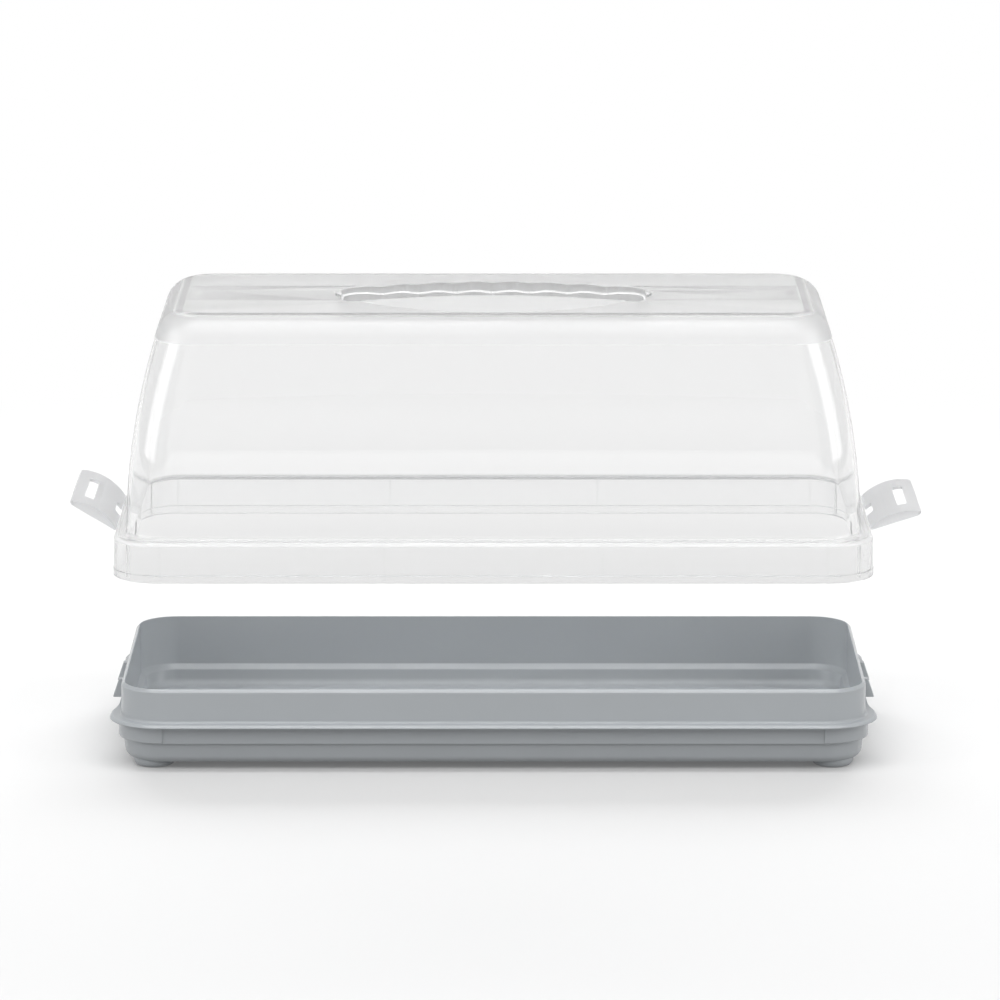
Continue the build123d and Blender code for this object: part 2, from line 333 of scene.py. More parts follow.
lidSettings = {
    "wall": 1.6,
    "rimCorner": 22.0,
    "skirtClearance": 1.3,
    "lipHeight": 4.0,
    "lipReach": 0.4,
    "lipSoftness": (0.3, 0.2),      # at its lower edge, and half the slope at its upper one
    "shoulderRound": 2.2,
    "shoulderInnerRound": 0.9,
    "shoulderSteps": 6,
    "footRound": 1.4,
    "footSteps": 4,
    "domeSetback": 6.4,
    "domeHeight": 115.2,
    "leanX": 20.0,
    "leanY": 13.0,
    "domeCorner": 22.0,
    "edgeRound": 10.0,
    "channelWidth": 38.0,
    "channelDepth": 1.0,
    "channelSlope": 7.0,
    "channelMargin": 0.5,
    "moundLength": 166.0,
    "moundWidth": 120.0,
    "moundSlope": 38.0,
    "moundRise": 2.0,
    "moundSteps": 240,
    "slotLength": 159.5,
    "slotFront": 19.5,
    "slotFrontEnd": 26.0,
    "slotEndRound": 13.0,
    "collarWall": 1.8,
    "collarDepth": 8.0,
    "collarSteps": ((0, 2.4), (0.15, 3.3), (0.9, 11.0)),      # how much narrower the slot gets, and how deep
    "scallops": 8,
    "scallopRadius": 11.5,
    "scallopCrest": 24.0,
    "scallopEndCrest": 17.0,
    "scallopDepth": 5.0,
    "scallopShape": 1.4,      # above 1 narrows the valleys between the scallops
    "scallopSteps": 12,
    "frontSteps": 32,
    "ribWidth": 1.2,
    "ribReach": 1.0,
    "ribRoot": 0.6,
    "ribPlaces": (56.3, 171.8),
    "ribFoot": 1.5,
    "windowLength": 49.8,
    "windowHeight": 10.4,
    "windowRound": 3.0,
    "cornerSteps": 44,
    "wallSteps": 110,
    "edgeSteps": 9,
    "frostDepth": 14.6,
    "frostStep": 0.25,
    "frostLine": 0.7,
}
lidBottom = lidLow.z * metre
domeTop = lidHigh.z * metre - lidSettings["moundRise"]
shoulderTop = domeTop - lidSettings["domeHeight"]
skirtHalfX = lidHigh.x * metre - lidSettings["lipReach"]
skirtHalfY = lidHigh.y * metre - lidSettings["lipReach"]


def lidLevels(shrink):      # shrink 0 gives the outside, and a wall's thickness gives the hollow
    s = lidSettings
    skirtCorner = s["rimCorner"] + s["skirtClearance"] + s["wall"]
    skirtX = skirtHalfX - skirtCorner
    skirtY = skirtHalfY - skirtCorner
    radius = skirtCorner - shrink
    shoulder = shoulderTop - shrink
    top = domeTop - shrink
    levels = []
    if shrink:
        levels.append((radius, skirtX, skirtY, lidBottom - 2))      # well below the lid's open side
        turn = s["shoulderInnerRound"]
    else:
        lip = radius + s["lipReach"]
        soft, slope = s["lipSoftness"]
        levels += [(lip - soft, skirtX, skirtY, lidBottom), (lip, skirtX, skirtY, lidBottom + soft)]
        levels.append((lip, skirtX, skirtY, lidBottom + s["lipHeight"] - slope))
        levels.append((radius, skirtX, skirtY, lidBottom + s["lipHeight"] + slope))
        turn = s["shoulderRound"]
    for step in range(s["shoulderSteps"] + 1):
        angle = pi / 2 * step / s["shoulderSteps"]
        levels.append((radius - turn * (1 - cos(angle)), skirtX, skirtY, shoulder - turn * (1 - sin(angle))))
    domeX = skirtHalfX - s["domeSetback"] - s["domeCorner"]
    domeY = skirtHalfY - s["domeSetback"] - s["domeCorner"]
    foot = s["domeCorner"] - shrink
    edge = s["edgeRound"] - shrink
    footRound = s["footRound"] + shrink
    for step in range(s["footSteps"] + 1):      # small fillet where the wall rises from the shoulder
        angle = pi / 2 * step / s["footSteps"]
        height = shoulder + footRound * (1 - cos(angle))
        levels.append((foot + footRound * (1 - sin(angle)), domeX, domeY, height))
    wallShare = 1 - edge / s["domeHeight"]
    firstShare = footRound / s["domeHeight"]
    wallReach = wallShare - firstShare
    shares = [firstShare + wallReach * step / s["wallSteps"] for step in range(1, s["wallSteps"] + 1)]
    frostShare = 1 - s["frostDepth"] / s["domeHeight"]
    proud = 0 if shrink else s["frostStep"]      # the frosted cap stands a little proud
    if proud:
        stepShare = s["frostLine"] / s["domeHeight"]
        shares = [rise for rise in shares if not -0.001 < rise - frostShare < stepShare + 0.001]
        shares = sorted(shares + [frostShare, frostShare + stepShare])
    for rise in shares:
        lean = rise**2
        radius = foot + (proud if rise > frostShare + 1e-6 else 0)
        height = shoulder + s["domeHeight"] * rise
        levels.append((radius, domeX - s["leanX"] * lean, domeY - s["leanY"] * lean, height))
    foot += proud
    for step in range(1, s["edgeSteps"] + 1):
        angle = pi / 2 * step / s["edgeSteps"]
        rise = wallShare + edge / s["domeHeight"] * sin(angle)
        lean = rise**2
        height = shoulder + s["domeHeight"] * rise
        radius = foot - edge * (1 - cos(angle))
        levels.append((radius, domeX - s["leanX"] * lean, domeY - s["leanY"] * lean, height))
    return levels


def moundSolid(top):      # where two flat cones cross
    s = lidSettings
    radius = (s["moundLength"]**2 + s["moundWidth"]**2) / (4 * s["moundWidth"])
    root = 4      # how far a cone's foot runs down into the lid
    cones = []
    for side in (1, -1):
        bm = bmesh.new()
        bmesh.ops.create_cone(bm, cap_ends=True, segments=s["moundSteps"], radius1=radius, radius2=radius,
                              depth=root)
        bmesh.ops.translate(bm, vec=(0, 0, -root / 2), verts=bm.verts[:])
        upper = [f for f in bm.faces if f.normal.z > 0.5]
        verts = newVerts(bmesh.ops.extrude_face_region(bm, geom=upper)["geom"])
        bmesh.ops.delete(bm, geom=upper, context="FACES")
        share = (radius - s["moundSlope"]) / radius
        bmesh.ops.scale(bm, vec=(share, share, 1), verts=verts)
        bmesh.ops.translate(bm, vec=(0, 0, s["moundRise"]), verts=verts)
        bmesh.ops.translate(bm, vec=(0, side * (s["moundWidth"] / 2 - radius), top), verts=bm.verts[:])
        cones.append(newPiece("cone", bm))
    combine(cones[0], cones[1], "INTERSECT")
    return cones[0]


# the finger slot's prism, grown all round: a bowed front, and a row of scallops at the back
def slotSolid(grow, bottom, top):
    s = lidSettings
    steps = s["scallopSteps"]
    half = s["slotLength"] / 2
    last = half - s["scallopRadius"]
    pitch = 2 * last / (s["scallops"] - 1)
    endY = s["scallopEndCrest"] - s["scallopRadius"]
    endRadius = s["scallopRadius"] + grow
    bow = s["slotFrontEnd"] - s["slotFront"]
    frontRadius = (half**2 + bow**2) / (2 * bow)
    half += grow
    outline = []
    for step in range(steps + 1):      # the right end, the scallops, the left end, and then the front
        angle = pi / 2 * step / steps
        outline.append((last + endRadius * cos(angle), endY + endRadius * sin(angle)))
    waves = steps * (s["scallops"] - 1)
    for step in range(1, waves):
        across = last - 2 * last * step / waves
        crest = s["scallopCrest"] - (s["scallopCrest"] - s["scallopEndCrest"]) * (across / last)**2
        dip = (1 - cos(2 * pi * (across - last) / pitch)) / 2
        outline.append((across, crest - s["scallopDepth"] * dip**s["scallopShape"] + grow))
    for step in range(steps + 1):
        angle = pi / 2 * (1 + step / steps)
        outline.append((-last + endRadius * cos(angle), endY + endRadius * sin(angle)))
    for step in range(s["frontSteps"] + 1):
        across = -half + 2 * half * step / s["frontSteps"]
        sag = frontRadius - (frontRadius**2 - across**2)**0.5
        outline.append((across, -s["slotFront"] - grow - sag))
    bm = bmesh.new()
    bm.faces.new([bm.verts.new((x, y, bottom)) for x, y in outline])
    prism = bmesh.ops.extrude_face_region(bm, geom=bm.faces[:])["geom"]
    bmesh.ops.translate(bm, vec=(0, 0, top - bottom), verts=newVerts(prism))
    corners = [e for e in bm.edges if abs(e.verts[0].co.z - e.verts[1].co.z) > 1
               and abs(e.verts[0].co.x) > half - closeBy and e.verts[0].co.y < -s["slotFront"]]
    softenEdges(bm, corners, s["slotEndRound"] + grow, 12)
    return newPiece("slot", bm)


# a whole body with its channel and mound: the outside, or the hollow when it is shrunk by a wall
def domeBody(name, shrink):
    s = lidSettings
    bm = bmesh.new()
    cornerShell(bm, lidLevels(shrink), s["cornerSteps"])
    body = newPiece(name, bm)
    top = domeTop - shrink
    reach = skirtHalfX - s["domeSetback"] - s["leanX"] - s["edgeRound"]
    reach -= s["channelSlope"] + s["channelMargin"]
    half = (s["channelWidth"] - s["channelSlope"]) / 2
    bm = bmesh.new()
    bottom = top - s["channelDepth"]
    for vert in addBar(bm, (-reach, -half, bottom), (reach, half, top + s["channelDepth"])):
        if vert.co.z > top:      # the sides slope outwards
            vert.co.x += 2 * s["channelSlope"] * (1 if vert.co.x > 0 else -1)
            vert.co.y += 2 * s["channelSlope"] * (1 if vert.co.y > 0 else -1)
    combine(body, newPiece("channel", bm), "DIFFERENCE")
    combine(body, moundSolid(top), "UNION")
    return body


def ribSolids():      # ribs inside the skirt, along the sides and round each corner
    s = lidSettings
    inner = skirtHalfY - s["wall"]
    low = lidBottom + s["ribFoot"]
    high = shoulderTop - s["wall"] + 0.5
    half = s["ribWidth"] / 2
    bm = bmesh.new()
    for place in s["ribPlaces"]:
        for x in (-place, place):
            for side in (1, -1):
                near, far = sorted((side * (inner - s["ribReach"]), side * (inner + s["ribRoot"])))
                addBar(bm, (x - half, near, low), (x + half, far, high))
    radius = s["rimCorner"] + s["skirtClearance"]
    centreX = skirtHalfX - s["wall"] - radius
    centreY = inner - radius
    for x, y, angle in ((1, 1, 45), (-1, 1, 135), (-1, -1, 225), (1, -1, 315)):
        place = Matrix.Translation((x * centreX, y * centreY, 0)) @ Matrix.Rotation(radians(angle), 4, "Z")
        addBar(bm, (radius - s["ribReach"], -half, low), (radius + s["ribRoot"], half, high), place)
    return newPiece("ribs", bm)


def makeLid():
    s = lidSettings
    lid = domeBody("lidShell", 0)
    hollow = domeBody("hollow", s["wall"])
    collarBottom = domeTop - s["collarDepth"]
    above = domeTop + 5      # well above the mound
    combine(hollow, slotSolid(s["collarWall"], collarBottom, above + 1), "DIFFERENCE")
    combine(hollow, ribSolids(), "DIFFERENCE")
    combine(lid, hollow, "DIFFERENCE")
    for inset, depth in s["collarSteps"]:
        combine(lid, slotSolid(-inset, domeTop - depth, above), "DIFFERENCE")
    bm = bmesh.new()
    bmesh.ops.create_cube(bm, size=1)
    bmesh.ops.scale(bm, vec=(3 * skirtHalfX, s["windowLength"], 2 * s["windowHeight"]), verts=bm.verts[:])
    bmesh.ops.translate(bm, vec=(0, 0, lidBottom), verts=bm.verts[:])
    heads = [e for e in bm.edges if all(v.co.z > lidBottom for v in e.verts)
             and abs(e.verts[0].co.x - e.verts[1].co.x) > 1]
    softenEdges(bm, heads, s["windowRound"], 6)
    combine(lid, newPiece("window", bm), "DIFFERENCE")
    finishPiece(lid, "lid", "lid")
    print("lid:", len(lid.data.polygons), "faces")
    return lid


# latch flaps: a crowned plate with side walls, made lying flat along +X and turned to where its node is

flapSettings = {
    "width": 84.0,
    "length": 27.0,
    "wall": 1.6,
    "crown": 3.2,
    "tipRound": 4.0,
    "hingeClearance": 0.3,
    "hingeDrop": 2.4,
    "hingeGapLength": 21.0,
    "hingeGapReach": 3.2,
    "hingeGapRound": 1.0,
    "slotLength": 47.0,
    "slotHeight": 5.3,
    "slotRound": 1.2,
    "catchClearance": 0.65,      # from the flange's underside to the slot's edge when the flap is closed
    "closedLean": 2.0,
    "edgeSoftness": 0.3,
    "edgeAngle": 40.0,
    "risesAbove": {"left": 31.0, "right": 18.0},
}


def crownedSolid(length, width, low, high, crown, name):      # a plate whose upper side is an arc
    bm = bmesh.new()
    radius = (length**2 / 4 + crown**2) / (2 * crown)
    start = bm.verts.new((0, -width / 2, high))
    centre = (length / 2, -width / 2, high + crown - radius)
    sweep = 2 * asin(length / 2 / radius)
    bmesh.ops.spin(bm, geom=[start], cent=centre, axis=(0, 1, 0), angle=sweep, steps=24)
    ends = sorted((v for v in bm.verts if len(v.link_edges) == 1), key=lambda v: v.co.x)
    feet = [bm.verts.new((v.co.x, -width / 2, low)) for v in ends]
    bm.edges.new((ends[0], feet[0]))
    bm.edges.new((ends[1], feet[1]))
    bm.edges.new(feet)
    bmesh.ops.contextual_create(bm, geom=bm.edges[:])
    drawn = bmesh.ops.extrude_face_region(bm, geom=bm.faces[:])["geom"]
    bmesh.ops.translate(bm, vec=(0, width, 0), verts=newVerts(drawn))
    return newPiece(name, bm)


def roundedTool(length, width, radius):      # an upright prism through the plate
    bm = bmesh.new()
    bmesh.ops.create_cube(bm, size=1)
    bmesh.ops.scale(bm, vec=(length, width, 20), verts=bm.verts[:])
    uprights = [e for e in bm.edges if abs(e.verts[0].co.z - e.verts[1].co.z) > 1]
    softenEdges(bm, uprights, radius, 5)
    return newPiece("tool", bm)


def makeFlap(side):
    s = flapSettings
    sign = -1 if side == "left" else 1
    half = s["wall"] / 2
    flap = crownedSolid(s["length"], s["width"], -half, half, s["crown"], side + "LatchFlap")
    bm = bmesh.new()
    bm.from_mesh(flap.data)
    tips = [e for e in bm.edges if abs(e.verts[0].co.z - e.verts[1].co.z) > 1
            and e.verts[0].co.x > s["length"] - closeBy]
    softenEdges(bm, tips, s["tipRound"], 8)
    bm.to_mesh(flap.data)
    bm.free()
    bm = bmesh.new()
    bmesh.ops.create_cone(bm, cap_ends=True, segments=32, radius1=half, radius2=half, depth=s["width"],
                          matrix=Matrix.Rotation(pi / 2, 4, "X"))
    combine(flap, newPiece("barrel", bm), "UNION")
    innerWidth = s["width"] - 2 * s["wall"]
    hollow = crownedSolid(s["length"] - 0.02, innerWidth, -half - 1, -half, s["crown"], "hollow")
    combine(flap, hollow, "DIFFERENCE")
    hingeZ = shoulderTop - s["hingeDrop"]
    drop = hingeZ - lidBottom + traySettings["flangeThickness"] + s["catchClearance"]
    catchEdge = drop / cos(radians(s["closedLean"]))
    catch = roundedTool(s["slotHeight"], s["slotLength"], s["slotRound"])
    catch.data.transform(Matrix.Translation((catchEdge - s["slotHeight"] / 2, 0, 0)))
    combine(flap, catch, "DIFFERENCE")
    gap = roundedTool(2 * s["hingeGapReach"], s["hingeGapLength"], s["hingeGapRound"])
    combine(flap, gap, "DIFFERENCE")
    soft = flap.modifiers.new("soft", "BEVEL")
    soft.width = s["edgeSoftness"]
    soft.segments = 2
    soft.limit_method = "ANGLE"
    soft.angle_limit = radians(s["edgeAngle"])
    bakeModifiers(flap)
    hingeX = skirtHalfX + s["hingeClearance"] + half
    turn = Matrix.Rotation(radians(-s["risesAbove"][side]), 4, "Y")
    if sign < 0:
        turn = Matrix.Rotation(pi, 4, "Z") @ turn
    flap.data.transform(Matrix.Translation((sign * hingeX, 0, hingeZ)) @ turn)
    finishPiece(flap, side + "_latch_flap", side + "_latch_flap")
    print(side, "latch flap:", len(flap.data.polygons), "faces")
    return flap


# materials

def grey(level):
    return (level, level, level, 1)


def addNode(nodes, kind, place, **values):
    node = nodes.new(kind)
    node.location = place
    for key, value in values.items():
        setattr(node, key, value)
    return node


grainSettings = {"fineDetail": 3, "coarseScale": 22, "coarseDetail": 2, "bumpDistance": 0.0002}


def makeGrainGroup():      # the fine grain of moulded plastic, shared by every material
    s = grainSettings
    group = bpy.data.node_groups.new("mouldedGrain", "ShaderNodeTree")
    group.interface.new_socket("Scale", in_out="INPUT", socket_type="NodeSocketFloat")
    group.interface.new_socket("Fine Share", in_out="INPUT", socket_type="NodeSocketFloat")
    group.interface.new_socket("Height", in_out="OUTPUT", socket_type="NodeSocketFloat")
    group.interface.new_socket("Mottle", in_out="OUTPUT", socket_type="NodeSocketFloat")
    nodes, links = group.nodes, group.links
    entry = addNode(nodes, "NodeGroupInput", (-700, 0))
    leave = addNode(nodes, "NodeGroupOutput", (500, 0))
    place = addNode(nodes, "ShaderNodeTexCoord", (-700, -200))
    fine = addNode(nodes, "ShaderNodeTexNoise", (-450, 100))
    fine.inputs["Detail"].default_value = s["fineDetail"]
    coarse = addNode(nodes, "ShaderNodeTexNoise", (-450, -200))
    coarse.inputs["Scale"].default_value = s["coarseScale"]
    coarse.inputs["Detail"].default_value = s["coarseDetail"]
    blend = addNode(nodes, "ShaderNodeMix", (-100, 0), data_type="FLOAT")
    links.new(place.outputs["Object"], fine.inputs["Vector"])
    links.new(place.outputs["Object"], coarse.inputs["Vector"])
    links.new(entry.outputs["Scale"], fine.inputs["Scale"])
    links.new(entry.outputs["Fine Share"], blend.inputs["Factor"])
    links.new(coarse.outputs["Fac"], blend.inputs["A"])
    links.new(fine.outputs["Fac"], blend.inputs["B"])
    links.new(blend.outputs["Result"], leave.inputs["Height"])
    links.new(coarse.outputs["Fac"], leave.inputs["Mottle"])
    return group


grainGroup = makeGrainGroup()


def startMaterial(name):
    material = bpy.data.materials.new(name)
    material.use_nodes = True
    nodes = material.node_tree.nodes
    nodes.clear()
    return material, nodes, material.node_tree.links


trayLook = {
    "colour": (0.40, 0.422, 0.440, 1),
    "roughness": 0.22,
    "ior": 1.5,
    "fineShare": 0.8,
    "grainScale": 1400,
    "grainStrength": 0.06,
    "mottle": 0.03,
}


def makeTrayMaterial():      # satin grey moulded plastic
    s = trayLook
    material, nodes, links = startMaterial("trayPlastic")
    grain = addNode(nodes, "ShaderNodeGroup", (-600, -100), node_tree=grainGroup)
    grain.inputs["Scale"].default_value = s["grainScale"]
    grain.inputs["Fine Share"].default_value = s["fineShare"]
    tone = addNode(nodes, "ShaderNodeMapRange", (-350, 150))
    tone.inputs["To Min"].default_value = 1 - s["mottle"]
    tone.inputs["To Max"].default_value = 1 + s["mottle"]
    colour = addNode(nodes, "ShaderNodeMix", (-150, 150), data_type="RGBA", blend_type="MULTIPLY")
    colour.inputs["Factor"].default_value = 1
    colour.inputs["A"].default_value = s["colour"]
    bump = addNode(nodes, "ShaderNodeBump", (-150, -150))
    bump.inputs["Strength"].default_value = s["grainStrength"]
    bump.inputs["Distance"].default_value = grainSettings["bumpDistance"]
    shader = addNode(nodes, "ShaderNodeBsdfPrincipled", (150, 0))
    shader.inputs["Roughness"].default_value = s["roughness"]
    shader.inputs["IOR"].default_value = s["ior"]
    output = addNode(nodes, "ShaderNodeOutputMaterial", (450, 0))
    links.new(grain.outputs["Mottle"], tone.inputs["Value"])
    links.new(tone.outputs["Result"], colour.inputs["B"])
    links.new(colour.outputs["Result"], shader.inputs["Base Color"])
    links.new(grain.outputs["Height"], bump.inputs["Height"])
    links.new(bump.outputs["Normal"], shader.inputs["Normal"])
    links.new(shader.outputs["BSDF"], output.inputs["Surface"])
    return material


lidLook = {
    "ior": 1.49,
    "shadowShare": 0.9,
    "shadowTint": (0.97, 0.975, 0.98, 1),
    "fineShare": 0.7,
    "grainScale": 900,
    "roughnessSpread": 0.15,
    "finishesAndPaint": {
        "clearPlastic": {"colour": grey(0.965), "transmission": 0.97, "roughness": 0.02, "grain": 0.002},
        "capPlastic": {"colour": grey(0.99), "transmission": 0.86, "roughness": 0.16, "grain": 0.004},
        # painted shade: the frosted cap's sloped and upright faces are a darker grey than its flat top
        "bandPaintedShade": {"colour": grey(0.92), "transmission": 0.86, "roughness": 0.36, "grain": 0.004},
        "skirtPlastic": {"colour": grey(0.955), "transmission": 0.88, "roughness": 0.12, "grain": 0.003},
        # painted highlight: the sloped faces of the shoulder round are whiter and less clear than the skirt
        "shoulderPaintedHighlight": {"colour": grey(0.97), "transmission": 0.45, "roughness": 0.2, "grain": 0.003},
        # painted highlight: the mound's flat front faces are whiter and less clear, for the light on its
        # front facet
        "moundPaintedHighlight": {"colour": grey(0.99), "transmission": 0.5, "roughness": 0.25, "grain": 0.01},
        # painted shade: the channel's flat floor is a darker grey than the cap round it
        "channelPaintedShade": {"colour": grey(0.84), "transmission": 0.8, "roughness": 0.2, "grain": 0.008},
        # painted shade: the finger slot's walls are a dark grey
        "slotWallPaintedShade": {"colour": grey(0.68), "transmission": 0.4, "roughness": 0.3, "grain": 0.02},
        # painted highlight: the ledge under the scallops and the step where the frosting begins are nearly
        # white and opaque
        "ledgePaintedHighlight": {"colour": grey(0.98), "transmission": 0.1, "roughness": 0.2, "grain": 0.02},
        # painted shade: the crease round the top's edge is a dark grey
        "creasePaintedShade": {"colour": grey(0.6), "transmission": 0.8, "roughness": 0.16, "grain": 0.003},
    },
    "flapFinish": {"colour": (0.845, 0.845, 0.85, 1), "transmission": 0.5, "roughness": 0.42, "grain": 0.08},
    "creaseDrop": 0.7,      # how far below the top's edge the painted shade of the crease round it reaches
    "creaseTilt": (0.93, 0.998),      # and how level its faces are
}


# translucent moulded plastic that lets lamp light through to what it covers
def makeLidMaterial(name, finishOrPaintedLight):
    s = lidLook
    material, nodes, links = startMaterial(name)
    grain = addNode(nodes, "ShaderNodeGroup", (-700, -100), node_tree=grainGroup)
    grain.inputs["Scale"].default_value = s["grainScale"]
    grain.inputs["Fine Share"].default_value = s["fineShare"]
    rough = addNode(nodes, "ShaderNodeMapRange", (-400, 200))
    rough.inputs["To Min"].default_value = finishOrPaintedLight["roughness"] * (1 - s["roughnessSpread"])
    rough.inputs["To Max"].default_value = finishOrPaintedLight["roughness"] * (1 + s["roughnessSpread"])
    bump = addNode(nodes, "ShaderNodeBump", (-150, -300))
    bump.inputs["Strength"].default_value = finishOrPaintedLight["grain"]
    bump.inputs["Distance"].default_value = grainSettings["bumpDistance"]
    shader = addNode(nodes, "ShaderNodeBsdfPrincipled", (150, 0))
    shader.inputs["Base Color"].default_value = finishOrPaintedLight["colour"]
    shader.inputs["IOR"].default_value = s["ior"]
    shader.inputs["Transmission Weight"].default_value = finishOrPaintedLight["transmission"]
    passing = addNode(nodes, "ShaderNodeBsdfTransparent", (150, -450))
    passing.inputs["Color"].default_value = s["shadowTint"]
    light = addNode(nodes, "ShaderNodeLightPath", (-150, 450))
    share = addNode(nodes, "ShaderNodeMath", (150, 300), operation="MULTIPLY")
    share.inputs[1].default_value = s["shadowShare"]
    mix = addNode(nodes, "ShaderNodeMixShader", (450, 0))
    output = addNode(nodes, "ShaderNodeOutputMaterial", (650, 0))
    links.new(grain.outputs["Mottle"], rough.inputs["Value"])
    links.new(rough.outputs["Result"], shader.inputs["Roughness"])
    links.new(grain.outputs["Height"], bump.inputs["Height"])
    links.new(bump.outputs["Normal"], shader.inputs["Normal"])
    links.new(light.outputs["Is Shadow Ray"], share.inputs[0])
    links.new(share.outputs["Value"], mix.inputs["Fac"])
    links.new(shader.outputs["BSDF"], mix.inputs[1])
    links.new(passing.outputs["BSDF"], mix.inputs[2])
    links.new(mix.outputs["Shader"], output.inputs["Surface"])
    return material


def onFlatTop(x, y):      # over the flat middle of the top, inside its rounded edge
    s = lidSettings
    margin = s["domeSetback"] + s["edgeRound"] + 0.1
    return abs(x) < skirtHalfX - s["leanX"] - margin and abs(y) < skirtHalfY - s["leanY"] - margin


# clear walls between a frosted cap and a frosted skirt, and the finger slot's faces; painted shade in the
# slot, the channel and the crease round the top, painted highlights on the mound, the shoulder and the
# ledges, and the cap's sloped faces painted darker than its top
def dressLid(lid):
    s = lidSettings
    look = lidLook
    names = list(look["finishesAndPaint"])
    for name in names:
        lid.data.materials.append(makeLidMaterial(name, look["finishesAndPaint"][name]))
    capFoot = domeTop - s["frostDepth"]
    wallFoot = shoulderTop + s["footRound"]
    shoulderLow = shoulderTop - s["shoulderRound"] - 0.4
    slack = 0.02      # for faces that end just where a finish does
    ledgeLow = domeTop - s["collarSteps"][1][1] - slack
    ledgeHigh = domeTop - s["collarSteps"][0][1] + slack
    collarReach = s["collarWall"] + 0.1
    collarLow = domeTop - s["collarDepth"] - 0.1
    slotX = s["slotLength"] / 2 + collarReach
    slotLow = -s["slotFrontEnd"] - collarReach
    slotHigh = s["scallopCrest"] + collarReach
    creaseLow = domeTop - look["creaseDrop"]
    moundLow = domeTop + 0.05
    channelLow = domeTop - s["channelDepth"] - 0.05
    channelHigh = domeTop - 0.3      # so the sloped sides keep the cap's finish in their upper part
    leastTilt, mostTilt = look["creaseTilt"]
    for polygon in lid.data.polygons:
        x, y, z = polygon.center * metre
        heights = [lid.data.vertices[index].co.z * metre for index in polygon.vertices]
        lowest, highest = min(heights), max(heights)
        flat = abs(polygon.normal.z) > 0.9
        finishOrPaintedLight = "clearPlastic"
        if z < wallFoot:
            finishOrPaintedLight = "skirtPlastic"
        elif z > capFoot:
            # the cap's sloped faces get painted shade, its flat top stays lighter
            finishOrPaintedLight = "capPlastic" if flat else "bandPaintedShade"
        if shoulderLow < lowest and highest < shoulderTop + slack and 0.1 < abs(polygon.normal.z) < 0.99:
            # painted highlight on the shoulder round's sloped faces
            finishOrPaintedLight = "shoulderPaintedHighlight"
        inSlot = z > collarLow and abs(x) < slotX and slotLow < y < slotHigh
        if inSlot and ledgeLow < lowest and highest < ledgeHigh:
            finishOrPaintedLight = "ledgePaintedHighlight"      # painted highlight: the bright line under the scallops
        elif inSlot and not flat:
            # painted shade on the slot's walls
            finishOrPaintedLight = "slotWallPaintedShade"
        elif capFoot - slack < lowest and highest < capFoot + s["frostLine"] + slack:
            finishOrPaintedLight = "ledgePaintedHighlight"      # painted highlight: the bright line where the frosting begins
        elif z > creaseLow and leastTilt < polygon.normal.z < mostTilt and not onFlatTop(x, y):
            # painted shade on the nearly level faces of the crease
            finishOrPaintedLight = "creasePaintedShade"
        elif flat and z > moundLow and y < 0:
            # painted highlight on the mound's flat faces in front
            finishOrPaintedLight = "moundPaintedHighlight"
        elif flat and channelLow < z < channelHigh and onFlatTop(x, y):
            # painted shade on the channel's flat floor
            finishOrPaintedLight = "channelPaintedShade"
        polygon.material_index = names.index(finishOrPaintedLight)


# studio: floor, world, lamps and camera

studioSettings = {
    "floorSize": 40.0,
    "floorColour": grey(0.62),
    "bounceColour": grey(0.35),      # the floor as other surfaces are lit by it
    "throughShare": 0.7,      # how far it is that colour through the lid
    "floorGlow": 0.10,      # a little light of the floor's own
    "floorFade": (0.42, 1.0),      # from the lit floor to plain white, in metres from the middle
    "roomLevel": 0.27,      # the room in front and at the sides
    "backdropLevel": 0.75,      # the light that the white backdrop behind gives
    "backdropFade": (0.05, 0.6),      # how far round from the side to the back it sets in
    "plainFade": (0.5, 0.93),      # and the same for the plain white seen in and through the lid
}


def seenRays(nodes, links, kinds):      # 1 for the kinds of ray that show the white background
    light = addNode(nodes, "ShaderNodeLightPath", (-1100, 500))
    result = light.outputs[kinds[0]]
    for index, kind in enumerate(kinds[1:]):
        larger = addNode(nodes, "ShaderNodeMath", (-900 + 180 * index, 500), operation="MAXIMUM")
        links.new(result, larger.inputs[0])
        links.new(light.outputs[kind], larger.inputs[1])
        result = larger.outputs["Value"]
    return result


